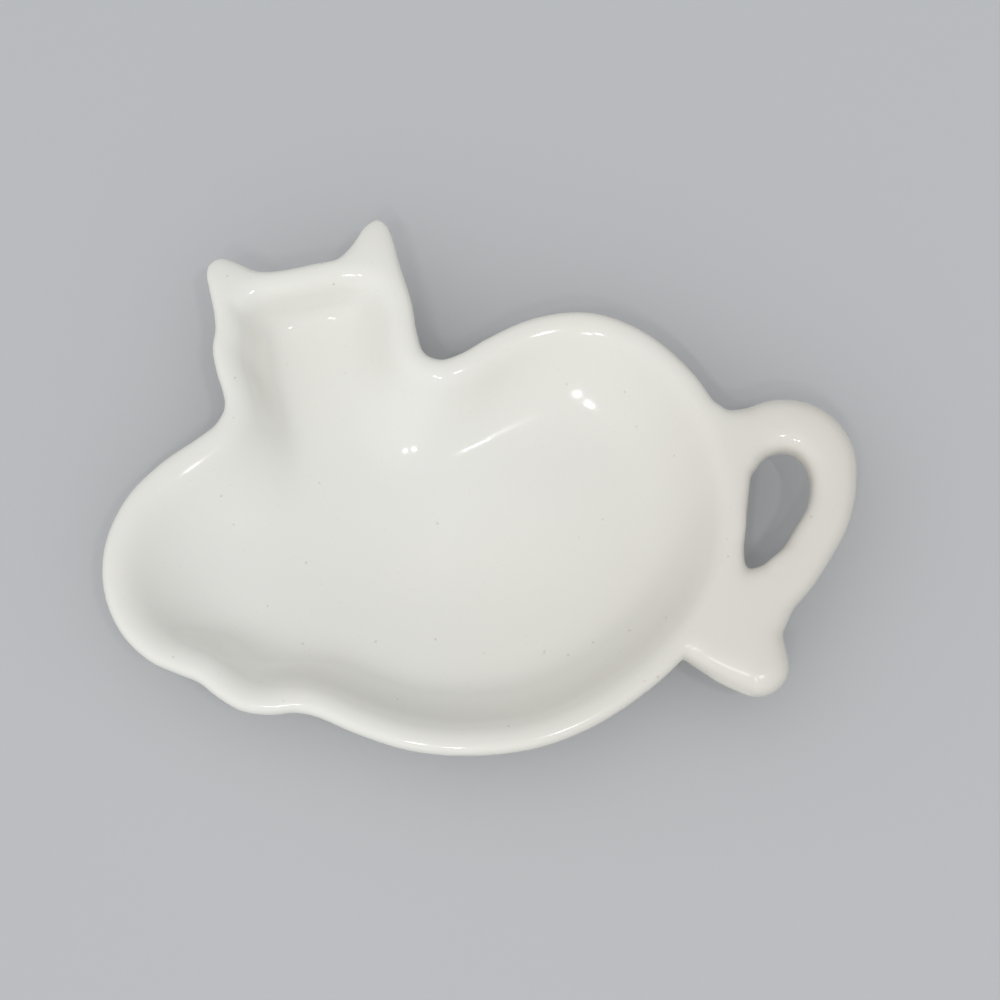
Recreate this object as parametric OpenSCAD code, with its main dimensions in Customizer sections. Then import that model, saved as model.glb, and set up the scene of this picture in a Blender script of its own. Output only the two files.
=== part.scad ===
// Tea bag rest: a shallow glazed dish with the outline of a lying cat, seen from above.
// The cat faces left. X runs from the chest to the tail, Y from the belly to the ears, Z is up.
// The origin is at the middle of the base, on the table. All lengths are in millimetres.

/* [Body] */
// Length of the body over the rim, from the chest to the rump
body_l = 102; // [94:0.5:110]
// Width of the body over the rim, from the belly to the back
body_w = 73.6; // [68:0.2:80]

/* [Head and ears] */
// Width of the head from the left ear to the right cheek
head_w = 34; // [30:0.5:38]
// Height of the head from the throat to the crown
head_h = 24.6; // [22:0.2:28]
// Distance from the front of the chest to the left side of the head
head_x = 14.2; // [12:0.2:17]
// Height of the throat above the belly
throat_y = 57; // [54:0.5:60]
// How far the right ear stands out of the head
ear_h = 6.5; // [4:0.5:9]

/* [Well] */
// Depth of the well in the body, under the top of the rim
well_d = 11; // [9:0.5:13]
// Depth of the well in the head, under the top of the rim
head_d = 7; // [5:0.5:9]
// Height above the belly where the floor starts to climb toward the head
neck_y = 50; // [49:0.5:53]
// Length of the slope that climbs from the body's floor to the head's
neck_l = 20; // [15:1:22]
// How much the floor is dished between its middle and its edge
dish_h = 1.6; // [0.6:0.1:2.2]
// How much higher the floor is under the chest than in the middle
chest_rise = 2.6; // [1:0.2:3.6]
// Length over which the floor rises toward the chest
chest_l = 40; // [34:1:46]
// Thickness of the floor
floor_t = 4; // [3:0.25:5.5]

/* [Rim] */
// Width of the rounded rim round the body, from its outer edge to the wall
rim_w = 5.2; // [4:0.1:6]
// Width of the rounded rim round the head
head_rim_w = 4.8; // [3.6:0.1:5.4]
// Width of the tight lip outside the rim's highest line
lip_w = 1.4; // [0.8:0.1:2]
// Height of the upright side below the rim, before the wall turns in
side_h = 5.5; // [4:0.5:7]

/* [Tail] */
// How far the tail stands out past the rump
tail_reach = 17.8; // [15:0.2:22]
// Height of the tail from its flared tip to the top of the loop
tail_h = 48.8; // [45:0.2:53]
// Height of the tail's tip above the belly
tail_y = 9.7; // [8:0.1:12]
// Width of the tail beside the finger hole
tail_w = 7.1; // [5.5:0.1:8]
// Thickness of the tail from its top to its underside
tail_t = 6.5; // [5:0.25:8]

/* [Foot ring] */
// Length of the oval foot ring
foot_l = 68; // [56:1:72]
// Width of the oval foot ring
foot_w = 36; // [30:1:37]
// Height of the foot ring
foot_h = 2; // [1.5:0.25:3]
// Width of the band that stands on the table
foot_band = 3; // [2:0.25:4]
// Rounding of the foot's lower edges
foot_round = 0.6; // [0.3:0.1:0.8]
// Distance from the front of the chest to the middle of the foot ring
foot_x = 52.6; // [50:0.5:55]
// Distance from the belly to the middle of the foot ring
foot_y = 31.5; // [30:0.5:32]

/* [Smoothness] */
// Longest facet along the outline
facet_l = 3.4; // [2.8:0.2:5]
// Facets round one bead of the tail
bead_facets = 20; // [16:4:28]

/* [Hidden] */

glaze_white = [0.89, 0.885, 0.865];
bare_clay = [0.86, 0.82, 0.75];

// Heights that follow from the sizes above
under_z = foot_h;
floor_z = under_z + floor_t;
rim_z = floor_z + well_d;

// Frames that carry the shares below
body_at = [0, 0];
body_box = [body_l, body_w];
head_at = [head_x, throat_y];
head_box = [head_w, head_h];

// Rump, back and the dip behind the nape, counterclockwise, in shares of the body
back_shares = [
    [1.000, 0.533], [0.992, 0.648], [0.969, 0.750], [0.922, 0.856], [0.853, 0.947],
    [0.782, 0.993], [0.726, 1.000], [0.658, 0.980], [0.594, 0.936], [0.553, 0.901], [0.520, 0.886]
];

// Back of the neck and the right cheek, in shares of the head
nape_shares = [[1.065, 0.382], [1.026, 0.537], [1.000, 0.748]];

// Right ear: corner of the head in shares of the head, then the reach of the ear in shares of ear_h
right_ear_shares = [
    [0.944, 0.935, -0.04, 0.40], [0.895, 1.000, 0.06, 0.74], [0.850, 1.028, 0.09, 1.12],
    [0.812, 1.053, 0.08, 1.17], [0.762, 1.065, 0.03, 0.91], [0.706, 1.069, 0.03, 0.43]
];

// Crown between the ears, in shares of the head
crown_shares = [[0.635, 1.065], [0.535, 1.033], [0.424, 0.996], [0.318, 0.972]];

// Left ear, written as the right one
left_ear_shares = [
    [0.235, 0.951, 0.00, 0.11], [0.174, 0.914, -0.14, 0.46], [0.147, 0.862, -0.48, 0.79],
    [0.097, 0.854, -0.49, 0.55], [0.053, 0.789, -0.20, 0.28]
];

// Left cheek and throat, in shares of the head
cheek_shares = [
    [0.047, 0.667], [0.056, 0.549], [0.047, 0.415], [0.071, 0.252],
    [0.106, 0.106], [0.118, 0.000], [0.079, -0.122]
];

// Chest, tucked paws and belly, in shares of the body
front_shares = [
    [0.134, 0.697], [0.084, 0.645], [0.036, 0.573], [0.007, 0.486], [0.000, 0.410], [0.010, 0.330],
    [0.039, 0.255], [0.082, 0.201], [0.124, 0.175], [0.157, 0.156], [0.186, 0.125], [0.222, 0.096],
    [0.266, 0.087], [0.304, 0.092], [0.335, 0.084], [0.396, 0.048], [0.476, 0.012], [0.565, 0.000],
    [0.666, 0.015], [0.749, 0.057], [0.822, 0.120], [0.888, 0.198], [0.949, 0.302], [0.986, 0.417]
];

// Edge of the floor inside the well. Each row starts with its station: which point of the outline it
// faces, counted from the rump. Then its place, in shares of the body or of the head.
floor_back_shares = [
    [0, 0.830, 0.522], [1.6, 0.810, 0.622], [3, 0.785, 0.700], [5, 0.725, 0.742],
    [7.5, 0.630, 0.715], [9, 0.540, 0.660]
];
floor_head_shares = [
    [10.2, 0.900, -0.440], [11.4, 0.740, -0.200], [12.6, 0.660, 0.180], [14.8, 0.640, 0.500],
    [17.5, 0.600, 0.600], [21.5, 0.500, 0.600], [25.5, 0.420, 0.550], [28, 0.400, 0.440],
    [31, 0.430, 0.140], [33.8, 0.520, -0.350]
];
floor_front_shares = [
    [36, 0.300, 0.525], [38, 0.225, 0.465], [40, 0.195, 0.397], [42, 0.210, 0.330],
    [45, 0.265, 0.295], [49, 0.360, 0.268], [52, 0.476, 0.205], [53.2, 0.579, 0.200],
    [55, 0.695, 0.245], [57, 0.785, 0.342], [58.6, 0.828, 0.430]
];

// Middle of the body's floor that its facets run to, in shares of the body
hub_share = [0.358, 0.523];

// Place of the wall's lower corner between the edge of the well and the edge of the floor
wall_turn_share = 0.5;

// Place of the underside's edge between the edge of the floor and the outline
base_share = 0.38;

// Where the outer wall starts to turn under, down its own height, and where that turn ends, from the
// underside's edge toward the hub
under_turn_share = 0.84;
under_end_share = 0.07;

// Steps of the section: floor and underside from the hub outward, and the curved walls
floor_step_shares = [0.2, 0.38, 0.48, 0.58, 0.68, 0.78, 0.89, 1];
wall_step_shares = [0.14, 0.3, 0.46, 0.62, 0.8, 1];
roll_step_shares = [0.75, 0.5, 0.25, 0];
lip_step_shares = [0.3, 0.55, 0.8, 1];
side_step_shares = [0.14, 0.32, 0.5, 0.68, 0.84];
turn_step_shares = [0.35, 0.7, 1];
under_step_shares = [0.88, 0.78, 0.68, 0.58, 0.48, 0.38, 0.2];

// Middle line of the tail, root first: how far out from the rump in shares of tail_reach, how far up from
// the tip in shares of tail_h, and its radius in shares of tail_w
tail_shares = [
    [0.022, 0.863, 0.606], [0.231, 0.889, 0.592], [0.519, 0.915, 0.616], [0.739, 0.892, 0.620],
    [0.839, 0.817, 0.590], [0.824, 0.717, 0.514], [0.747, 0.605, 0.486], [0.625, 0.498, 0.486],
    [0.511, 0.402, 0.500], [0.401, 0.320, 0.528], [0.411, 0.209, 0.606], [0.690, 0.102, 0.704]
];

// Beads along the rump that the web below the finger hole reaches back to, written as tail_shares
web_shares = [[0.048, 0.324, 0.479], [0.026, 0.252, 0.507], [0.035, 0.168, 0.521]];
web_first = 8;
web_last = 11;

// Where the rump starts along the body
rump_start_share = 0.75;

// How far the space kept free over the well runs past the top of the rim
well_overrun = 1;

// Small beads that round the corners where the tail's root and the web meet the rump
root_corner_shares = [[-0.020, 0.916, 0.296], [0.002, 0.781, 0.310]];
root_fillet_shares = [[-0.030, 0.961, 0.180], [-0.008, 0.703, 0.100]];
web_corner_shares = [[-0.019, 0.428, 0.225], [-0.051, 0.156, 0.296]];

// Facets of one span, round an ear's tip and along the tail
ear_steps = 2;
tail_steps = 2;
oval_facets = 72;

// Curves through hand-chosen points

function ring_at(p, i) = p[(i + len(p)) % len(p)];

function gap_root(a, b) = sqrt(norm(b - a));

// Point at share t of the span from p1 to p2, on a smooth curve through all the points
function span_point(p0, p1, p2, p3, t) =
    let (d1 = gap_root(p0, p1), d2 = gap_root(p1, p2), d3 = gap_root(p2, p3))
    let (m1 = p2 - p1 + d2 * ((p1 - p0) / d1 - (p2 - p0) / (d1 + d2)))
    let (m2 = p2 - p1 + d2 * ((p3 - p2) / d3 - (p3 - p1) / (d2 + d3)))
    (2 * (p1 - p2) + m1 + m2) * t * t * t + (3 * (p2 - p1) - 2 * m1 - m2) * t * t + m1 * t + p1;

function closed_curve(p, steps) = [
    for (i = [0:len(p) - 1])
        for (k = [0:steps[i] - 1])
            span_point(ring_at(p, i - 1), p[i], ring_at(p, i + 1), ring_at(p, i + 2), k / steps[i])
];

function open_curve(p, steps) = [
    for (i = [0:len(p) - 2])
        for (k = [0:steps - (i == len(p) - 2 ? 0 : 1)])
            span_point(i == 0 ? 2 * p[0] - p[1] : p[i - 1], p[i], p[i + 1],
                i == len(p) - 2 ? 2 * p[i + 1] - p[i] : p[i + 2], k / steps)
];

function place(at, box, shares) = [for (s = shares) [at.x + box.x * s.x, at.y + box.y * s.y]];

function ear_tips(shares) = [
    for (s = shares)
        [head_at.x + head_box.x * s[0] + ear_h * s[2], head_at.y + head_box.y * s[1] + ear_h * s[3]]
];

// Outline of the pan without and with the ears, in the same order
pan_points = concat(
    place(body_at, body_box, back_shares), place(head_at, head_box, nape_shares),
    place(head_at, head_box, right_ear_shares), place(head_at, head_box, crown_shares),
    place(head_at, head_box, left_ear_shares), place(head_at, head_box, cheek_shares),
    place(body_at, body_box, front_shares)
);
cat_points = concat(
    place(body_at, body_box, back_shares), place(head_at, head_box, nape_shares),
    ear_tips(right_ear_shares), place(head_at, head_box, crown_shares),
    ear_tips(left_ear_shares), place(head_at, head_box, cheek_shares),
    place(body_at, body_box, front_shares)
);

// Facets of each span: as many as its length asks for, and at least ear_steps round an ear's tip
function is_ear(i) = norm(cat_points[i] - pan_points[i]) > ear_h / 2;
span_steps = [
    for (i = [0:len(cat_points) - 1])
        max(is_ear(i) ? ear_steps : 1, ceil(norm(ring_at(cat_points, i + 1) - cat_points[i]) / facet_l))
];
pan_line = closed_curve(pan_points, span_steps);
cat_line = closed_curve(cat_points, span_steps);
count = len(cat_line);

function unit(v) = v / norm(v);
function inward(i) = let (d = unit(ring_at(pan_line, i + 1) - ring_at(pan_line, i - 1))) [-d.y, d.x];
function mix(a, b, share) = a + (b - a) * share;
function smooth_share(v) = let (s = min(1, max(0, v))) s * s * (3 - 2 * s);

// Share of the way from the body to the head at a height y
function head_share(y) = smooth_share((y - neck_y) / neck_l);
function rim_width(p) = mix(rim_w, head_rim_w, head_share(p.y));

// Floor of the well: a dished oval in the body that rises toward the chest and climbs to the flat floor
// of the head
function dish_share(p) = norm([(p.x - foot_x) / foot_l, (p.y - foot_y) / foot_w]) * 2;
function dished(s) = 2 * dish_h * s * s / (1 + s * s);
function chest_lift(p) = chest_rise * smooth_share((foot_x - p.x) / chest_l);
function body_floor_at(p) = floor_z + dished(dish_share(p)) + chest_lift(p);
function floor_at(p) = mix(body_floor_at(p), rim_z - head_d, head_share(p.y));
function under_at(p) = mix(under_z, rim_z - head_d - floor_t, head_share(p.y));

well_line = [for (i = [0:count - 1]) pan_line[i] + inward(i) * rim_width(pan_line[i])];

// Floor edge, with a point that faces each point of the outline
hub = [body_l * hub_share.x, body_w * hub_share.y];
floor_stations = [for (r = concat(floor_back_shares, floor_head_shares, floor_front_shares)) r[0]];
floor_points = concat(
    place(body_at, body_box, without_station(floor_back_shares)),
    place(head_at, head_box, without_station(floor_head_shares)),
    place(body_at, body_box, without_station(floor_front_shares))
);
function without_station(rows) = [for (r = rows) [r[1], r[2]]];
function station_after(j) = j == len(floor_stations) - 1 ? len(cat_points) : floor_stations[j + 1];
function floor_point(u) =
    let (j = max([for (k = [0:len(floor_stations) - 1]) if (floor_stations[k] <= u) k]))
    let (t = (u - floor_stations[j]) / (station_after(j) - floor_stations[j]))
    span_point(ring_at(floor_points, j - 1), floor_points[j],
        ring_at(floor_points, j + 1), ring_at(floor_points, j + 2), t);
floor_line = [
    for (i = [0:len(cat_points) - 1])
        for (k = [0:span_steps[i] - 1])
            floor_point(i + k / span_steps[i])
];
base_line = [for (i = [0:count - 1]) mix(floor_line[i], pan_line[i], base_share)];

// Slope at which the rim rolls over into the wall, and the radius and the place of that roll
function floor_edge_z(i) = floor_at(floor_line[i]);
function turn_run(i) = wall_turn_share * norm(well_line[i] - floor_line[i]);
function roll_w(i) = rim_width(pan_line[i]) - lip_w;
function first_roll(i) = atan2(rim_z - floor_edge_z(i), turn_run(i));
function roll(i) = atan2(rim_z - floor_edge_z(i) - roll_w(i) * tan(first_roll(i) / 2), turn_run(i));
function roll_r(i) = roll_w(i) / sin(roll(i));
function crest(i) = mix(pan_line[i], well_line[i], lip_w / rim_width(pan_line[i]));
function well_edge_z(i) = rim_z - roll_r(i) * (1 - cos(roll(i)));

function lift(p, z) = [p.x, p.y, z];
function bend(a, b, c, s) = a * (1 - s) * (1 - s) + b * (2 * s * (1 - s)) + c * (s * s);

// Rings of the dish from the middle of the floor, over the rim, to the middle of the underside
function floor_ring(s) = [
    for (i = [0:count - 1]) let (p = mix(hub, floor_line[i], s)) lift(p, floor_at(p))
];
function wall_ring(s) = [
    for (i = [0:count - 1])
        let (low = lift(floor_line[i], floor_edge_z(i)), high = lift(well_line[i], well_edge_z(i)))
        let (knee = lift(mix(well_line[i], floor_line[i], wall_turn_share), floor_edge_z(i)))
        bend(low, knee, high, s)
];
function roll_ring(s) = [
    for (i = [0:count - 1])
        let (a = roll(i) * s)
        lift(mix(crest(i), well_line[i], sin(a) / sin(roll(i))), rim_z - roll_r(i) * (1 - cos(a)))
];
function lip_ring(s) = [
    for (i = [0:count - 1])
        lift(mix(crest(i), cat_line[i], sin(90 * s)), rim_z - lip_w * (1 - cos(90 * s)))
];
function base_point(i, s) = let (p = mix(base_line[i], hub, s)) lift(p, under_at(p));
function side_point(i, s) =
    bend(lift(cat_line[i], rim_z - lip_w), lift(pan_line[i], rim_z - side_h), base_point(i, 0), s);
function side_ring(s) = [for (i = [0:count - 1]) side_point(i, s)];
function turn_ring(s) = [
    for (i = [0:count - 1])
        bend(side_point(i, under_turn_share), base_point(i, 0), base_point(i, under_end_share), s)
];
function under_ring(s) = [for (i = [0:count - 1]) base_point(i, 1 - s)];

// The tail's beads stand out from the rump, whose outline gives an x for each height y
rump_line = [for (p = pan_line) if (p.x > body_l * rump_start_share) [p.y, p.x]];
function tail_beads(shares) = [
    for (s = shares)
        let (y = tail_y + tail_h * s[1])
        [lookup(y, rump_line) + tail_reach * s[0], y, tail_w * s[2]]
];

// Middle of the whole outline, tail included, which stands over the origin
tail_points = tail_beads(tail_shares);
tail_line = open_curve(tail_points, tail_steps);
web_points = tail_beads(web_shares);
xs = concat([for (p = cat_line) p.x], [for (p = tail_line) p.x + p.z]);
ys = [for (p = cat_line) p.y];
middle = [(min(xs) + max(xs)) / 2, (min(ys) + max(ys)) / 2];

module centred() {
    translate([-middle.x, -middle.y, 0])
        children();
}

// Closed skin over rings of equal count, with a point at each end
module skin(rings, first, last) {
    n = len(rings[0]);
    points = concat([first], [for (r = rings) for (p = r) p], [last]);
    end = len(points) - 1;
    faces = concat(
        [for (i = [0:n - 1]) [0, 1 + (i + 1) % n, 1 + i]],
        [
            for (r = [0:len(rings) - 2])
                for (i = [0:n - 1])
                    let (a = 1 + r * n + i, b = 1 + r * n + (i + 1) % n)
                    for (f = [[a, b, b + n], [a, b + n, a + n]]) f
        ],
        [for (i = [0:n - 1]) [end, 1 + (len(rings) - 1) * n + i, 1 + (len(rings) - 1) * n + (i + 1) % n]]
    );
    polyhedron(points, faces, convexity = 6);
}

module pan() {
    rings = concat(
        [for (s = floor_step_shares) floor_ring(s)],
        [for (s = wall_step_shares) wall_ring(s)],
        [for (s = roll_step_shares) roll_ring(s)],
        [for (s = lip_step_shares) lip_ring(s)],
        [for (s = side_step_shares) side_ring(s)],
        [for (s = turn_step_shares) turn_ring(s)],
        [for (s = under_step_shares) under_ring(s)]
    );
    skin(rings, lift(hub, floor_at(hub)), lift(hub, under_at(hub)));
}

module dish() {
    color(glaze_white)
        centred()
            pan();
}

// One bead of the tail: round in plan, flush with the top of the rim
module bead(p) {
    translate([p.x, p.y, rim_z - tail_t / 2])
        scale([p.z, p.z, tail_t / 2])
            sphere(r = 1, $fn = bead_facets);
}

// Space inside the top of the rim, which the tail keeps out of
module well_space() {
    translate([0, 0, floor_z])
        linear_extrude(height = well_d + well_overrun)
            polygon([for (i = [0:count - 1]) crest(i)]);
}

module tail_handle() {
    color(glaze_white)
        centred()
            difference() {
                union() {
                    for (i = [0:len(tail_line) - 2])
                        hull() {
                            bead(tail_line[i]);
                            bead(tail_line[i + 1]);
                        }
                    for (k = [0:len(web_points) - 1])
                        hull() {
                            bead(web_points[k]);
                            bead(tail_points[web_first + k]);
                            bead(tail_points[web_first + k + 1]);
                        }
                    for (k = [0:len(web_points) - 2])
                        hull() {
                            bead(web_points[k]);
                            bead(web_points[k + 1]);
                            bead(tail_points[web_first + k + 1]);
                        }
                    hull() {
                        bead(web_points[len(web_points) - 1]);
                        bead(tail_points[web_last]);
                    }
                    for (p = tail_beads(root_corner_shares))
                        hull() {
                            bead(p);
                            bead(tail_points[0]);
                            bead(tail_points[1]);
                        }
                    for (k = [0:len(root_corner_shares) - 1])
                        hull() {
                            bead(tail_beads(root_corner_shares)[k]);
                            bead(tail_beads(root_fillet_shares)[k]);
                        }
                    hull() {
                        bead(tail_beads(web_corner_shares)[0]);
                        bead(web_points[0]);
                    }
                    hull() {
                        bead(tail_beads(web_corner_shares)[1]);
                        bead(web_points[len(web_points) - 1]);
                        bead(tail_points[web_last]);
                    }
                }
                pan();
                well_space();
            }
}

// Band of the foot ring at one height, drawn in by the rounding of its lower edges
function oval(grow, z) = [
    for (i = [0:oval_facets - 1])
        let (a = 360 * i / oval_facets)
        [foot_x + (foot_l / 2 + grow) * cos(a), foot_y + (foot_w / 2 + grow) * sin(a), z]
];

module foot_ring() {
    rings = [
        oval(-foot_round, 0), oval(0, foot_round), oval(0, foot_h),
        oval(-foot_band, foot_h), oval(-foot_band, foot_round), oval(foot_round - foot_band, 0)
    ];
    points = [for (r = rings) for (p = r) p];
    faces = [
        for (r = [0:len(rings) - 1])
            for (i = [0:oval_facets - 1])
                let (s = (r + 1) % len(rings), j = (i + 1) % oval_facets)
                for (f = [
                    [r * oval_facets + i, s * oval_facets + i, s * oval_facets + j],
                    [r * oval_facets + i, s * oval_facets + j, r * oval_facets + j]
                ]) f
    ];
    color(bare_clay)
        centred()
            polyhedron(points, faces, convexity = 4);
}

dish();
tail_handle();
foot_ring();
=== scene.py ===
import math

import bmesh
import bpy
import numpy as np
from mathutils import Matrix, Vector
from mathutils.kdtree import KDTree


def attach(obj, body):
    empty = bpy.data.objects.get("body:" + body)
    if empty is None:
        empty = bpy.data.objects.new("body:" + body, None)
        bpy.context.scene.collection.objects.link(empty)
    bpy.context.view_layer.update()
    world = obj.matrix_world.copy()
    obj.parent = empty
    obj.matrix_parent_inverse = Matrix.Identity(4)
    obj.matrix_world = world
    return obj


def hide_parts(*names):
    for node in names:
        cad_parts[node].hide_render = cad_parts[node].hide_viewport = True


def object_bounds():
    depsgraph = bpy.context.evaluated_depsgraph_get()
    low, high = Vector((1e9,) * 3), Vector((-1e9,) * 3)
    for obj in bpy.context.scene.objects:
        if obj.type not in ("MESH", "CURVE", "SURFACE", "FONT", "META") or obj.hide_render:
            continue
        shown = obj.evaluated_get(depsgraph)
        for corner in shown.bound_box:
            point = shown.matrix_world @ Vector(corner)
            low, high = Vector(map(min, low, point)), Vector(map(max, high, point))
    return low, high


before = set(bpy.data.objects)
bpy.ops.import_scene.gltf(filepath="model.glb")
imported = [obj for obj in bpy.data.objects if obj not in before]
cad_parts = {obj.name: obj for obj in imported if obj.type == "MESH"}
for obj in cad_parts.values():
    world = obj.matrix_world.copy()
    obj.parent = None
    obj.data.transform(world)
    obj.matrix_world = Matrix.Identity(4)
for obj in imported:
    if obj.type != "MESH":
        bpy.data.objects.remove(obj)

cad_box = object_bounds()
MM = 0.001

# Sizes in millimetres, as in the solids
BODY = (102.0, 73.6)
HEAD_AT = (14.2, 57.0)
HEAD = (34.0, 24.6)
EAR_H = 6.5
WELL_D = 11.0
HEAD_D = 7.0
NECK_Y = 50.0
NECK_L = 20.0
DISH_H = 1.6
CHEST_RISE = 2.6
CHEST_L = 40.0
FLOOR_T = 4.0
RIM_W = 5.2
HEAD_RIM_W = 4.8
LIP_W = 1.4
SIDE_H = 5.5
TAIL_AT = (102.0, 9.7)
TAIL = (17.8, 48.8)
TAIL_W = 7.1
TAIL_T = 6.5
FOOT = (68.0, 36.0)
FOOT_H = 2.0
FOOT_AT = (52.6, 31.5)
CAD_FACET = 3.4
CAD_TAIL_STEPS = 2

UNDER_Z = FOOT_H
FLOOR_Z = UNDER_Z + FLOOR_T
RIM_Z = FLOOR_Z + WELL_D

# Outline from the rump's right end over the back, in shares of BODY, or of HEAD from HEAD_AT. Ears have a
# third and fourth value, the reach past the head in shares of EAR_H.
BACK = [
    (1.000, 0.533), (0.992, 0.648), (0.969, 0.750), (0.922, 0.856), (0.853, 0.947),
    (0.782, 0.993), (0.726, 1.000), (0.658, 0.980), (0.594, 0.936), (0.553, 0.901), (0.520, 0.886),
]
NAPE = [(1.065, 0.382), (1.026, 0.537), (1.000, 0.748)]
RIGHT_EAR = [
    (0.944, 0.935, -0.04, 0.40), (0.895, 1.000, 0.06, 0.74), (0.850, 1.028, 0.09, 1.12),
    (0.812, 1.053, 0.08, 1.17), (0.762, 1.065, 0.03, 0.91), (0.706, 1.069, 0.03, 0.43),
]
CROWN = [(0.635, 1.065), (0.535, 1.033), (0.424, 0.996), (0.318, 0.972)]
LEFT_EAR = [
    (0.235, 0.951, 0.00, 0.11), (0.174, 0.914, -0.14, 0.46), (0.147, 0.862, -0.48, 0.79),
    (0.097, 0.854, -0.49, 0.55), (0.053, 0.789, -0.20, 0.28),
]
CHEEK = [
    (0.047, 0.667), (0.056, 0.549), (0.047, 0.415), (0.071, 0.252),
    (0.106, 0.106), (0.118, 0.000), (0.079, -0.122),
]
FRONT = [
    (0.134, 0.697), (0.084, 0.645), (0.036, 0.573), (0.007, 0.486), (0.000, 0.410), (0.010, 0.330),
    (0.039, 0.255), (0.082, 0.201), (0.124, 0.175), (0.157, 0.156), (0.186, 0.125), (0.222, 0.096),
    (0.266, 0.087), (0.304, 0.092), (0.335, 0.084), (0.396, 0.048), (0.476, 0.012), (0.565, 0.000),
    (0.666, 0.015), (0.749, 0.057), (0.822, 0.120), (0.888, 0.198), (0.949, 0.302), (0.986, 0.417),
]
# Where the floor ends: the outline's point that a place belongs to, then the place in shares
FLOOR_BACK = [
    (0, 0.830, 0.522), (1.6, 0.810, 0.622), (3, 0.785, 0.700), (5, 0.725, 0.742),
    (7.5, 0.630, 0.715), (9, 0.540, 0.660),
]
FLOOR_HEAD = [
    (10.2, 0.900, -0.440), (11.4, 0.740, -0.200), (12.6, 0.680, 0.180), (14.8, 0.680, 0.520),
    (17.5, 0.630, 0.690), (21.5, 0.480, 0.680), (25.5, 0.390, 0.600), (28, 0.380, 0.440),
    (31, 0.420, 0.140), (33.8, 0.500, -0.330),
]
FLOOR_FRONT = [
    (36, 0.300, 0.525), (38, 0.225, 0.465), (40, 0.195, 0.397), (42, 0.210, 0.330),
    (45, 0.265, 0.295), (49, 0.360, 0.268), (52, 0.476, 0.205), (53.2, 0.579, 0.200),
    (55, 0.695, 0.245), (57, 0.785, 0.342), (58.6, 0.828, 0.430),
]
HUB = (0.358, 0.523)                # middle of the well, in shares of BODY
WALL_TURN = 0.5                     # the wall's knee, as a share of the way from rim to floor
FLOOR_STEEPEST = 0.25               # steepest floor that the knee still follows
BASE = 0.38                         # edge of the underside, as a share of the way from floor edge to outline
UNDER_TURN = 0.84                   # where the side starts to turn under
UNDER_END = 0.07                    # where that turn ends, as a share of the way to the hub
UNDER_LAST = 0.97                   # the innermost ring of the underside
TANGENT_REACHES = (0.6, 0.9)        # how far the outline's direction is averaged, in facets of the solids

# Beads of the tail, root first, in shares of TAIL from TAIL_AT, with a radius in shares of TAIL_W
TAIL_LINE = [
    (-0.084, 0.863, 0.606), (0.101, 0.889, 0.592), (0.360, 0.915, 0.616), (0.606, 0.892, 0.620),
    (0.769, 0.817, 0.590), (0.806, 0.717, 0.514), (0.745, 0.605, 0.490), (0.583, 0.500, 0.507),
    (0.404, 0.402, 0.500), (0.202, 0.320, 0.528), (0.028, 0.209, 0.606), (0.049, 0.102, 0.704),
]
WEB = [(-0.146, 0.324, 0.479), (-0.275, 0.252, 0.507), (-0.438, 0.177, 0.521)]
WEB_FIRST, WEB_LAST = 8, 11
HOLE_BOTTOM = (0.390, 0.391, 0.425)
HOLE_CORNER = [(0.258, 0.408, 0.310), (0.416, 0.455, 0.310)]
ROOT_CORNERS = [(-0.180, 0.916, 0.296), (-0.045, 0.781, 0.310)]
ROOT_FILLETS = [(-0.247, 0.961, 0.180), (-0.022, 0.703, 0.100)]
WEB_CORNERS = [(-0.120, 0.428, 0.225), (-0.551, 0.176, 0.290)]
WEB_BULGE = (-0.191, 0.099, 0.420)
HOLE_TOP = (0.017, 0.785, 0.282)
HOLE_SIDE = [(-0.048, 0.713, 0.239), (-0.093, 0.580, 0.225), (-0.115, 0.488, 0.211)]
SOFT_SPOTS = [(0.303, 0.201), (0.337, 0.478), (0.045, 0.742)]       # more places where the glaze pools

BEAD_FLAT = 0.74                    # under 1 the bead gets a flatter top and a tighter edge

# Rings on each stretch of the dish, then points round a bead and from its bottom to its top
FLOOR_RINGS, WALL_RINGS, ROLL_RINGS, LIP_RINGS, SIDE_RINGS, TURN_RINGS, UNDER_RINGS = 28, 22, 8, 12, 14, 8, 23
BEAD_AROUND, BEAD_UP = 40, 19

# Grain and smoothing, with lengths in millimetres
FACET = 0.5       # facets along the outline
TAIL_STEPS = 8      # beads to a stretch of the tail
VOXEL = 0.35      # grain of the skin that joins dish and tail
SMOOTH_FACTOR = 0.5
LEAST_WEIGHT = 0.01                 # points with less take no part in a weighted smoothing
EVEN_ROUNDS = 16
POOL_ROUNDS = 34
POOL_REACH, POOL_FADE = 7.0, 5.0    # how far glaze pools from a corner, and over what width it fades
WELL_ROUNDS = 200
WELL_START, WELL_FADE = 2.5, 4.5    # how far in the well's smoothing starts, and over what width it grows
FACES_UP = 0.02                     # least upward share of the normal inside the well
SWELL = 0.11                        # how far the smoothed skin is put back
EAR_SWELL, EAR_REACH = 0.22, 8.0    # the same at the tips of the ears, and how far round them


# Curves
def span(p0, p1, p2, p3, t):
    """Points at shares t of the span from p1 to p2, on a smooth curve through all the points."""
    d1, d2, d3 = (math.sqrt(np.linalg.norm(b - a)) for a, b in ((p0, p1), (p1, p2), (p2, p3)))
    m1 = p2 - p1 + d2 * ((p1 - p0) / d1 - (p2 - p0) / (d1 + d2))
    m2 = p2 - p1 + d2 * ((p3 - p2) / d3 - (p3 - p1) / (d2 + d3))
    t = np.asarray(t, float)[:, None]
    return (2 * (p1 - p2) + m1 + m2) * t ** 3 + (3 * (p2 - p1) - 2 * m1 - m2) * t ** 2 + m1 * t + p1


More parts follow.
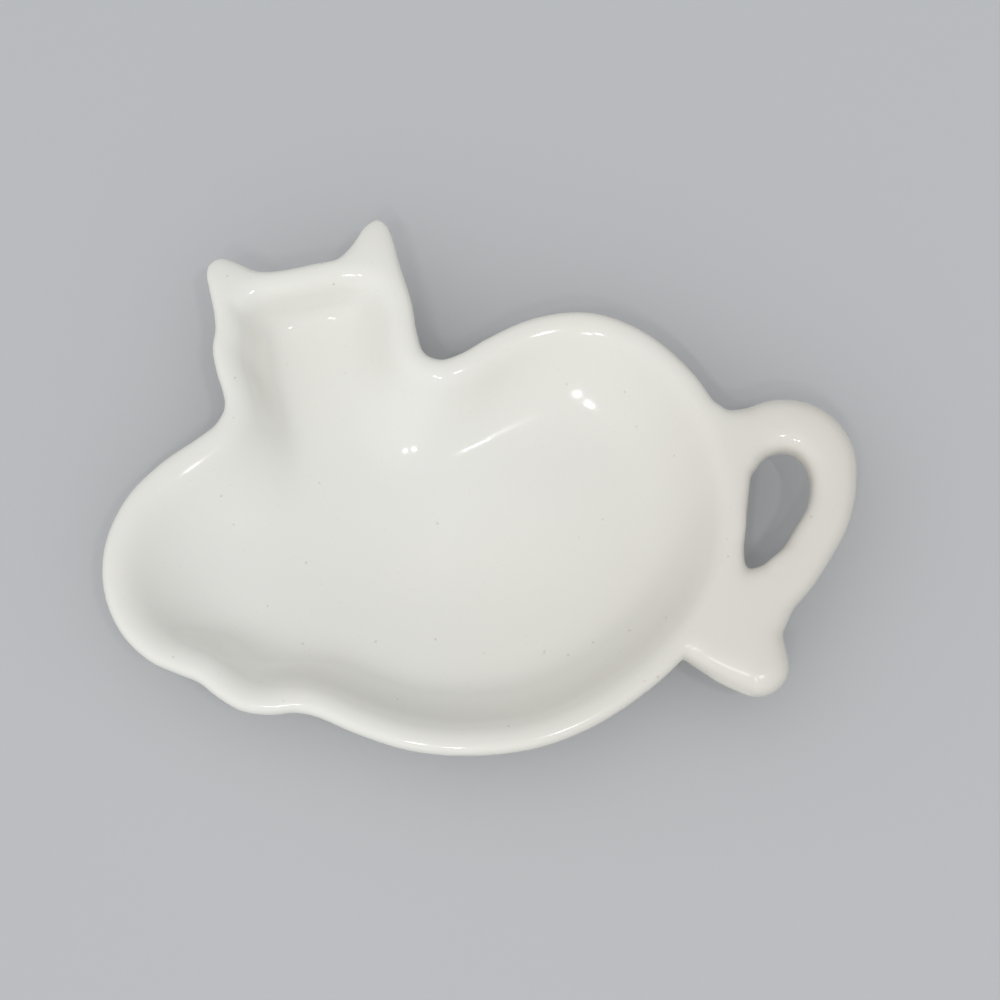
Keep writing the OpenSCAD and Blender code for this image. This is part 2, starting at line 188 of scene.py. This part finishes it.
def closed_curve(p, steps):
    n = len(p)
    return np.concatenate([
        span(p[i - 1], p[i], p[(i + 1) % n], p[(i + 2) % n], np.arange(steps[i]) / steps[i]) for i in range(n)
    ])


def open_curve(p, steps):
    out = []
    for i in range(len(p) - 1):
        before = 2 * p[0] - p[1] if i == 0 else p[i - 1]
        after = 2 * p[i + 1] - p[i] if i == len(p) - 2 else p[i + 2]
        out.append(span(before, p[i], p[i + 1], after, np.arange(steps) / steps))
    return np.concatenate(out + [p[-1:]])


def place(at, box, shares):
    return [np.array([at[0] + box[0] * s[0], at[1] + box[1] * s[1]]) for s in shares]


def smooth_share(v):
    s = np.clip(v, 0, 1)
    return s * s * (3 - 2 * s)


def mix(a, b, share):
    return a + (b - a) * share


def column(v):
    return np.asarray(v)[:, None]


# Outline, well and floor lines
def ear(shares):
    return [p + EAR_H * np.array(s[2:]) for p, s in zip(place(HEAD_AT, HEAD, shares), shares)]


def outline(ear_points):
    return np.array(
        place((0, 0), BODY, BACK) + place(HEAD_AT, HEAD, NAPE) + ear_points(RIGHT_EAR)
        + place(HEAD_AT, HEAD, CROWN) + ear_points(LEFT_EAR) + place(HEAD_AT, HEAD, CHEEK)
        + place((0, 0), BODY, FRONT)
    )


pan_points = outline(lambda shares: place(HEAD_AT, HEAD, shares))
cat_points = outline(ear)
lengths = np.linalg.norm(np.roll(cat_points, -1, 0) - cat_points, axis=1)
steps = np.maximum(2, np.ceil(lengths / FACET)).astype(int)
pan_line = closed_curve(pan_points, steps)
cat_line = closed_curve(cat_points, steps)

# Inward normals of the outline, averaged as wide as the solids' facets are
arc = np.concatenate([[0], np.cumsum(np.linalg.norm(np.roll(pan_line, -1, 0) - pan_line, axis=1))])
total = arc[-1]


def on_pan(at):
    at = np.mod(at, total)
    closed = np.vstack([pan_line, pan_line[:1]])
    return np.stack([np.interp(at, arc, closed[:, k]) for k in (0, 1)], 1)


reaches = [CAD_FACET * share for share in TANGENT_REACHES]
tangent = sum(on_pan(arc[:-1] + reach) - on_pan(arc[:-1] - reach) for reach in reaches)
tangent /= np.linalg.norm(tangent, axis=1)[:, None]
inward = np.stack([-tangent[:, 1], tangent[:, 0]], 1)


def head_share(y):
    return smooth_share((y - NECK_Y) / NECK_L)


rim_width = mix(RIM_W, HEAD_RIM_W, head_share(pan_line[:, 1]))
well_line = pan_line + inward * column(rim_width)

hub = np.array([BODY[0] * HUB[0], BODY[1] * HUB[1]])
stations = [r[0] for r in FLOOR_BACK + FLOOR_HEAD + FLOOR_FRONT]
floor_points = np.array(
    place((0, 0), BODY, [r[1:] for r in FLOOR_BACK]) + place(HEAD_AT, HEAD, [r[1:] for r in FLOOR_HEAD])
    + place((0, 0), BODY, [r[1:] for r in FLOOR_FRONT])
)


def floor_point(u):
    j = max(k for k, at in enumerate(stations) if at <= u)
    n = len(stations)
    after = len(cat_points) if j == n - 1 else stations[j + 1]
    t = (u - stations[j]) / (after - stations[j])
    return span(*(floor_points[(j + k) % n] for k in (-1, 0, 1, 2)), [t])[0]


floor_line = np.array([
    floor_point(i + k / steps[i]) for i in range(len(cat_points)) for k in range(steps[i])
])
base_line = mix(floor_line, pan_line, BASE)


def floor_at(p):
    s = 2 * np.hypot((p[:, 0] - FOOT_AT[0]) / FOOT[0], (p[:, 1] - FOOT_AT[1]) / FOOT[1])
    dished = 2 * DISH_H * s * s / (1 + s * s)
    climb = CHEST_RISE * smooth_share((FOOT_AT[0] - p[:, 0]) / CHEST_L)
    return mix(FLOOR_Z + dished + climb, RIM_Z - HEAD_D, head_share(p[:, 1]))


def under_at(p):
    return mix(UNDER_Z, RIM_Z - HEAD_D - FLOOR_T, head_share(p[:, 1]))


def lift(p, z):
    return np.column_stack([p, np.broadcast_to(z, len(p))])


def bend(a, b, c, s):
    return a * (1 - s) ** 2 + b * 2 * s * (1 - s) + c * s * s


# Rings of the dish
edge_z = floor_at(floor_line)
wall_run = np.linalg.norm(well_line - floor_line, axis=1)
turn_run = WALL_TURN * wall_run
out_step = (well_line - floor_line) / column(wall_run)
floor_slope = floor_at(floor_line + 0.5 * out_step) - floor_at(floor_line - 0.5 * out_step)
knee_z = edge_z + np.clip(floor_slope, 0, FLOOR_STEEPEST) * (wall_run - turn_run)
roll_w = rim_width - LIP_W
first_roll = np.arctan2(RIM_Z - knee_z, turn_run)
roll = np.arctan2(RIM_Z - knee_z - roll_w * np.tan(first_roll / 2), turn_run)
roll_r = roll_w / np.sin(roll)
crest = mix(pan_line, well_line, column(LIP_W / rim_width))
well_z = RIM_Z - roll_r * (1 - np.cos(roll))


def floor_ring(s):
    p = mix(hub, floor_line, s)
    return lift(p, floor_at(p))


def wall_ring(s):
    knee = lift(mix(well_line, floor_line, WALL_TURN), knee_z)
    return bend(lift(floor_line, edge_z), knee, lift(well_line, well_z), s)


def roll_ring(s):
    a = roll * s
    return lift(mix(crest, well_line, column(np.sin(a) / np.sin(roll))), RIM_Z - roll_r * (1 - np.cos(a)))


def lip_ring(s):
    a = math.pi / 2 * s
    return lift(mix(crest, cat_line, math.sin(a)), RIM_Z - LIP_W * (1 - math.cos(a)))


def under_ring(s):
    p = mix(base_line, hub, s)
    return lift(p, under_at(p))


def side_ring(s):
    return bend(lift(cat_line, RIM_Z - LIP_W), lift(pan_line, RIM_Z - SIDE_H), under_ring(0), s)


def turn_ring(s):
    return bend(side_ring(UNDER_TURN), under_ring(0), under_ring(UNDER_END), s)


def steps_to(n, first=0.0, last=1.0):
    return [first + (last - first) * (k + 1) / n for k in range(n)]


rings = (
    [floor_ring(s) for s in steps_to(FLOOR_RINGS)] + [wall_ring(s) for s in steps_to(WALL_RINGS)]
    + [roll_ring(1 - s) for s in steps_to(ROLL_RINGS)] + [lip_ring(s) for s in steps_to(LIP_RINGS)]
    + [side_ring(s * UNDER_TURN) for s in steps_to(SIDE_RINGS)] + [turn_ring(s) for s in steps_to(TURN_RINGS)]
    + [under_ring(s) for s in steps_to(UNDER_RINGS, UNDER_END, UNDER_LAST)]
)
hub_row = hub[None, :]
hub_top = lift(hub_row, floor_at(hub_row))
hub_under = lift(hub_row, under_at(hub_row))


def beads_of(shares):
    return [np.array((TAIL_AT[0] + TAIL[0] * x, TAIL_AT[1] + TAIL[1] * y, TAIL_W * r)) for x, y, r in shares]


# The frame's origin is under the middle of the solids' outline, whose tail has fewer beads than this one
tail_points = np.array(beads_of(TAIL_LINE))
cad_tail = open_curve(tail_points, CAD_TAIL_STEPS)
middle = np.array([
    (cat_line[:, 0].min() + max(cat_line[:, 0].max(), (cad_tail[:, 0] + cad_tail[:, 2]).max())) / 2,
    (cat_line[:, 1].min() + cat_line[:, 1].max()) / 2,
])


def centred(points):
    return points - np.array([middle[0], middle[1], 0.0])


def add_skin(bm, rows, start, end):
    """A closed skin over rings of equal count, with a point at each end."""
    grid = [[bm.verts.new(p) for p in centred(row)] for row in rows]
    head, foot = bm.verts.new(centred(start)[0]), bm.verts.new(centred(end)[0])
    n = len(grid[0])
    for i in range(n):
        j = (i + 1) % n
        bm.faces.new((head, grid[0][j], grid[0][i]))
        bm.faces.new((foot, grid[-1][i], grid[-1][j]))
        for a, b in zip(grid, grid[1:]):
            bm.faces.new((a[i], a[j], b[j], b[i]))


# The tail's beads
bead_turns = np.linspace(0, 2 * math.pi, BEAD_AROUND, endpoint=False)
bead_rises = np.linspace(-math.pi / 2, math.pi / 2, BEAD_UP)


def bead_ring(rise):
    across = abs(math.cos(rise)) ** BEAD_FLAT
    up = math.copysign(abs(math.sin(rise)) ** BEAD_FLAT, rise)
    return [(across * math.cos(a), across * math.sin(a), up) for a in bead_turns]


unit_bead = np.array([p for rise in bead_rises for p in bead_ring(rise)])


def bead(p):
    """A bead's points, from its place and radius seen from above."""
    return np.array([p[0], p[1], RIM_Z - TAIL_T / 2]) + unit_bead * np.array([p[2], p[2], TAIL_T / 2])


def add_hull(bm, beads):
    """The smallest bulging form that holds all the beads."""
    part = bmesh.new()
    for p in centred(np.concatenate([bead(b) for b in beads])):
        part.verts.new(p)
    result = bmesh.ops.convex_hull(part, input=part.verts)
    inside = result["geom_interior"] + result["geom_unused"]
    spare = list({v for v in inside if isinstance(v, bmesh.types.BMVert)})
    bmesh.ops.delete(part, geom=spare, context="VERTS")
    mesh = bpy.data.meshes.new("hull")
    part.to_mesh(mesh)
    part.free()
    bm.from_mesh(mesh)
    bpy.data.meshes.remove(mesh)


# The glazed piece, in one skin
web = beads_of(WEB)
web_corners = beads_of(WEB_CORNERS)
root_corners = beads_of(ROOT_CORNERS)
hole_top, hole_bottom, web_bulge = beads_of([HOLE_TOP, HOLE_BOTTOM, WEB_BULGE])
beside_web = list(tail_points[WEB_FIRST:WEB_LAST + 1])
tip = beside_web[-1]


def add_chain(bm, beads):
    for a, b in zip(beads, beads[1:]):
        add_hull(bm, [a, b])


bm = bmesh.new()
add_skin(bm, rings, hub_top, hub_under)
add_chain(bm, open_curve(tail_points, TAIL_STEPS))
for p, q, r in zip(web, [hole_bottom] + beside_web[1:], beside_web[1:]):
    add_hull(bm, [p, q, r])
for p, q, r in zip(web, web[1:], beside_web[1:]):
    add_hull(bm, [p, q, r])
add_hull(bm, [web[-1], tip])
for p, q in zip(root_corners, beads_of(ROOT_FILLETS)):
    add_hull(bm, [p, tail_points[0], tail_points[1]])
    add_hull(bm, [p, q])
add_chain(bm, [root_corners[1]] + beads_of(HOLE_SIDE) + [web_corners[0]])
add_hull(bm, [root_corners[1], hole_top])
add_hull(bm, beads_of(HOLE_CORNER))
add_hull(bm, [web[-1], web_bulge, tip])
add_hull(bm, [web_corners[0], web[0]])
add_hull(bm, [web_corners[1], web[-1], tip])

rough_mesh = bpy.data.meshes.new("glazed_dish")
bm.to_mesh(rough_mesh)
bm.free()
glazed = bpy.data.objects.new("glazed_dish", rough_mesh)
bpy.context.scene.collection.objects.link(glazed)


def applied(obj):
    """Applies the object's modifiers to its mesh."""
    made = bpy.data.meshes.new_from_object(obj.evaluated_get(bpy.context.evaluated_depsgraph_get()))
    obj.modifiers.clear()
    old, obj.data = obj.data, made
    bpy.data.meshes.remove(old)
    made.name = obj.name


remesh = glazed.modifiers.new("skin", "REMESH")
remesh.mode = "VOXEL"
remesh.voxel_size = VOXEL
applied(glazed)


def vertex_values(name):
    values = np.empty(len(glazed.data.vertices) * 3)
    glazed.data.vertices.foreach_get(name, values)
    return values.reshape(-1, 3)


def reach_from(points, marks):
    """Distance seen from above from each point to the nearest mark."""
    tree = KDTree(len(marks))
    for k, m in enumerate(marks):
        tree.insert((m[0], m[1], 0.0), k)
    tree.balance()
    return np.array([tree.find((p[0], p[1], 0.0))[2] for p in points])


def add_smoothing(name, rounds, weights=None):
    """Smooths the glazed skin, by weights for its points where they are given."""
    smoothing = glazed.modifiers.new(name, "SMOOTH")
    smoothing.factor, smoothing.iterations = SMOOTH_FACTOR, rounds
    if weights is not None:
        group = glazed.vertex_groups.new(name=name)
        for i in np.nonzero(weights > LEAST_WEIGHT)[0]:
            group.add([int(i)], float(weights[i]), "REPLACE")
        smoothing.vertex_group = name


# The glaze evens out the well, and it pools in the corners where the tail meets the rump
points = vertex_values("co")
edge_points = centred(lift(cat_line, RIM_Z))
corners = root_corners + beads_of(ROOT_FILLETS) + web_corners + [tail_points[0]] + web
pool_points = centred(np.array([(p[0], p[1], RIM_Z) for p in corners + place(TAIL_AT, TAIL, SOFT_SPOTS)]))
to_pool = (POOL_REACH - reach_from(points, pool_points)) / POOL_FADE
into_well = (reach_from(points, edge_points) - WELL_START) / WELL_FADE
in_well = (vertex_values("normal")[:, 2] > FACES_UP) & (points[:, 0] < edge_points[:, 0].max())
add_smoothing("even", EVEN_ROUNDS)
add_smoothing("pooled", POOL_ROUNDS, smooth_share(to_pool))
add_smoothing("well", WELL_ROUNDS, smooth_share(into_well) * in_well)
applied(glazed)
glazed.vertex_groups.clear()

# Smoothing draws the skin in a little, and this puts its sides back, no further than the solids reach
points = vertex_values("co")
ear_tips = np.array([max(ear(shares), key=lambda p: p[1]) for shares in (LEFT_EAR, RIGHT_EAR)])
ear_tips = centred(lift(ear_tips, RIM_Z))
swell = SWELL + EAR_SWELL * smooth_share(1 - reach_from(points, ear_tips) / EAR_REACH)
swollen = MM * (points + column(swell) * vertex_values("normal") * (1, 1, 0))
glazed.data.vertices.foreach_set("co", np.clip(swollen, cad_box[0], cad_box[1]).ravel())
glazed.data.polygons.foreach_set("use_smooth", np.ones(len(glazed.data.polygons), bool))
glazed.data.update()


# Colours in linear light
# The third glaze colour is painted shade: a darker, warmer glaze that is mixed in toward the tail
GLAZE_COOL, GLAZE_CREAM, GLAZE_SHADE = (0.765, 0.762, 0.715), (0.780, 0.768, 0.708), (0.690, 0.665, 0.605)
DARK_COLOUR, DUST_COLOUR = (0.30, 0.27, 0.22), (0.42, 0.39, 0.34)
CLAY_DARK, CLAY_LIGHT, CLAY_PIT_COLOUR = (0.70, 0.64, 0.55), (0.76, 0.71, 0.62), (0.35, 0.30, 0.24)
FLOOR_COLOUR = (0.50, 0.51, 0.52)
SKY_COLOUR = (0.97, 0.98, 1.0)
LAMP_COLOUR = (1.0, 0.99, 0.97)

# Scales of the noises, in clouds to a metre, and the span that holds most of a noise's values
GLAZE_CLOUDS, GLOSS_CLOUDS, WAVE_CLOUDS, GRAIN_CLOUDS = 28, 60, 110, 1500
CLAY_CLOUDS, CLAY_GRAIN_CLOUDS = 120, 2200
NOISE_SPAN = (0.3, 0.7)

# Specks, surface, the painted shade that makes the glaze darker and warmer, and where the glaze turns dull,
# in metres along a direction
DARK_STRENGTH, DUST_STRENGTH, CLAY_PIT_STRENGTH = 0.30, 0.15, 0.5
SPECK_CORE = 0.4                    # the part of a speck's radius that has its full colour
WAVE_HEIGHT, GRAIN_HEIGHT, PIT_DEPTH = 0.06, 0.004, 0.01
GLOSS_ROUGHNESS, DULL_ROUGHNESS = (0.07, 0.13), 0.125
SHADE_TOWARD, SHADE_SPAN = (1, -0.2, 0), (-0.005, 0.050)
DULL_TOWARD, DULL_SPAN = (0.75, -0.66, 0), (0.034, 0.042)


# Materials
def rgba(colour):
    return (*colour, 1)


class Shading:
    """The nodes of a material or of the world, with a method for each kind that is used."""

    def __init__(self, tree, space="Object"):
        self.tree = tree
        self.coords = tree.nodes.new("ShaderNodeTexCoord").outputs[space]

    def feed(self, socket, value):
        if isinstance(value, bpy.types.NodeSocket):
            self.tree.links.new(value, socket)
        else:
            socket.default_value = value

    def node(self, kind, inputs, **settings):
        made = self.tree.nodes.new(kind)
        for name, value in settings.items():
            setattr(made, name, value)
        for key, value in inputs.items():
            self.feed(made.inputs[key], value)
        return made

    def noise(self, scale, detail=2.0):
        inputs = {"Vector": self.coords, "Scale": scale, "Detail": detail}
        return self.node("ShaderNodeTexNoise", inputs).outputs["Fac"]

    def ranged(self, value, low, high, out_low=0.0, out_high=1.0):
        ends = {"From Min": low, "From Max": high, "To Min": out_low, "To Max": out_high}
        return self.node("ShaderNodeMapRange", {"Value": value, **ends}).outputs["Result"]

    def tinted(self, share, a, b):
        """A colour between a and b, each of which is a colour or a node's output."""
        a, b = (rgba(c) if isinstance(c, tuple) else c for c in (a, b))
        return self.node("ShaderNodeMix", {0: share, 6: a, 7: b}, data_type="RGBA").outputs[2]

    def calc(self, operation, a, b):
        return self.node("ShaderNodeMath", {0: a, 1: b}, operation=operation).outputs[0]

    def along(self, axis):
        """Distance along an axis from the object's origin."""
        inputs = {0: self.coords, 1: Vector(axis).normalized()}
        return self.node("ShaderNodeVectorMath", inputs, operation="DOT_PRODUCT").outputs["Value"]

    def specks(self, scale, size, share):
        """Round specks: a Voronoi cell holds one where its random colour is under share."""
        cell = self.node("ShaderNodeTexVoronoi", {"Vector": self.coords, "Scale": scale})
        near = self.ranged(cell.outputs["Distance"], size, size * SPECK_CORE)
        red = self.node("ShaderNodeSeparateColor", {"Color": cell.outputs["Color"]}).outputs[0]
        return self.calc("MULTIPLY", near, self.calc("LESS_THAN", red, share))

    def bump(self, height, distance, strength=1.0):
        inputs = {"Height": height, "Distance": distance, "Strength": strength}
        return self.node("ShaderNodeBump", inputs).outputs["Normal"]


def new_material(name):
    mat = bpy.data.materials.new(name)
    mat.use_nodes = True
    return mat, mat.node_tree.nodes["Principled BSDF"]


def glaze_material():
    """White glaze with painted shade that makes it darker and warmer toward the tail, duller at its lower
    end, with few specks and a faint wave.
    """
    mat, shader = new_material("glaze")
    look = Shading(mat.node_tree)
    tone = look.ranged(look.noise(GLAZE_CLOUDS, detail=3), *NOISE_SPAN)
    # Painted shade: the glaze is mixed toward the darker, warmer colour along this direction
    painted_shade = look.ranged(look.along(SHADE_TOWARD), *SHADE_SPAN)
    colour = look.tinted(painted_shade, look.tinted(tone, GLAZE_COOL, GLAZE_CREAM), GLAZE_SHADE)
    dark = look.specks(scale=520, size=0.16, share=0.10)
    dust = look.specks(scale=1300, size=0.24, share=0.08)
    colour = look.tinted(look.calc("MULTIPLY", dark, DARK_STRENGTH), colour, DARK_COLOUR)
    colour = look.tinted(look.calc("MULTIPLY", dust, DUST_STRENGTH), colour, DUST_COLOUR)
    gloss = look.ranged(look.noise(GLOSS_CLOUDS), *NOISE_SPAN, *GLOSS_ROUGHNESS)
    dull = look.ranged(look.along(DULL_TOWARD), *DULL_SPAN, 0, DULL_ROUGHNESS)
    wave = look.calc("MULTIPLY", look.noise(WAVE_CLOUDS), WAVE_HEIGHT)
    grain = look.calc("MULTIPLY", look.noise(GRAIN_CLOUDS), GRAIN_HEIGHT)
    pit = look.calc("MULTIPLY", dark, PIT_DEPTH)
    height = look.calc("SUBTRACT", look.calc("ADD", wave, grain), pit)
    look.feed(shader.inputs["Base Color"], colour)
    look.feed(shader.inputs["Roughness"], look.calc("ADD", gloss, dull))
    look.feed(shader.inputs["IOR"], 1.5)
    look.feed(shader.inputs["Subsurface Weight"], 0.12)
    look.feed(shader.inputs["Subsurface Radius"], (1.0, 0.85, 0.7))
    look.feed(shader.inputs["Subsurface Scale"], 1.5 * MM)
    look.feed(shader.inputs["Normal"], look.bump(height, distance=MM))
    return mat


def bare_clay_material():
    """Matte fired clay with fine pits."""
    mat, shader = new_material("bare_clay")
    look = Shading(mat.node_tree)
    tone = look.ranged(look.noise(CLAY_CLOUDS, detail=4), *NOISE_SPAN)
    pits = look.calc("MULTIPLY", look.specks(scale=1400, size=0.25, share=0.2), CLAY_PIT_STRENGTH)
    colour = look.tinted(pits, look.tinted(tone, CLAY_DARK, CLAY_LIGHT), CLAY_PIT_COLOUR)
    grain = look.noise(CLAY_GRAIN_CLOUDS, detail=3)
    look.feed(shader.inputs["Base Color"], colour)
    look.feed(shader.inputs["Roughness"], 0.85)
    look.feed(shader.inputs["Normal"], look.bump(grain, distance=0.2 * MM, strength=0.6))
    return mat


def floor_material():
    mat, shader = new_material("pale_floor")
    shader.inputs["Base Color"].default_value = rgba(FLOOR_COLOUR)
    shader.inputs["Roughness"].default_value = 0.8
    return mat


glazed.data.materials.clear()
glazed.data.materials.append(glaze_material())
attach(glazed, "root")
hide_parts("dish", "tail_handle")
foot_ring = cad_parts["foot_ring"]
bare_clay = bare_clay_material()
for slot in foot_ring.material_slots:
    slot.material = bare_clay

# Floor
FLOOR_SIZE = 4
bpy.ops.mesh.primitive_plane_add(size=FLOOR_SIZE, location=(0, 0, 0))
floor = bpy.context.object
floor.name = "floor"
floor.data.materials.append(floor_material())

# Soft studio light, which grows evenly from behind the object to the left front
LIGHT_TOWARD = (-0.28, -0.44, 0.62)
LIGHT_SPAN = (-0.6, 1.0)
LIGHT_LOW, LIGHT_HIGH = 0.14, 1.17

scene = bpy.context.scene
world = bpy.data.worlds.new("studio")
scene.world = world
world.use_nodes = True
backdrop = world.node_tree.nodes["Background"]
sky = Shading(world.node_tree, "Generated")
sky.feed(backdrop.inputs["Color"], rgba(SKY_COLOUR))
sky.feed(backdrop.inputs["Strength"], sky.ranged(sky.along(LIGHT_TOWARD), *LIGHT_SPAN, LIGHT_LOW, LIGHT_HIGH))

# Three small lamps for the glaze's highlights: name, place, width and power
LAMPS = [
    ("spot_low", (-0.05, -0.52, 0.88), 0.040, 0.45),
    ("spot_left", (-0.15, -0.41, 0.89), 0.045, 0.45),
    ("spot_high", (0.22, -0.29, 0.93), 0.050, 0.60),
]
LAMP_AIM = Vector((0, 0, 0.01))


def aimed(obj, at, aim):
    """Puts a lamp or camera in the scene, turned to what it aims at."""
    obj.location = at
    obj.rotation_euler = (Vector(aim) - Vector(at)).to_track_quat("-Z", "Y").to_euler()
    scene.collection.objects.link(obj)


for name, at, width, power in LAMPS:
    light = bpy.data.lights.new(name, "AREA")
    light.shape, light.size, light.energy, light.color = "DISK", width, power, LAMP_COLOUR
    aimed(bpy.data.objects.new(name, light), at, LAMP_AIM)

# Camera
CAMERA_RISE = math.radians(71.64)
CAMERA_AIM = Vector((0.00266, -0.00152, 0.008))
CAMERA_FAR = 0.34
SENSOR = 36.0
FOCAL = 2.0805                      # focal length in widths of the picture

view = bpy.data.cameras.new("camera")
view.sensor_width = SENSOR
view.lens = FOCAL * SENSOR
view.clip_start = 0.01
camera = bpy.data.objects.new("camera", view)
camera_side = Vector((0, -math.cos(CAMERA_RISE), math.sin(CAMERA_RISE)))
aimed(camera, CAMERA_AIM + CAMERA_FAR * camera_side, CAMERA_AIM)
scene.camera = camera
scene.view_settings.view_transform = "Standard"
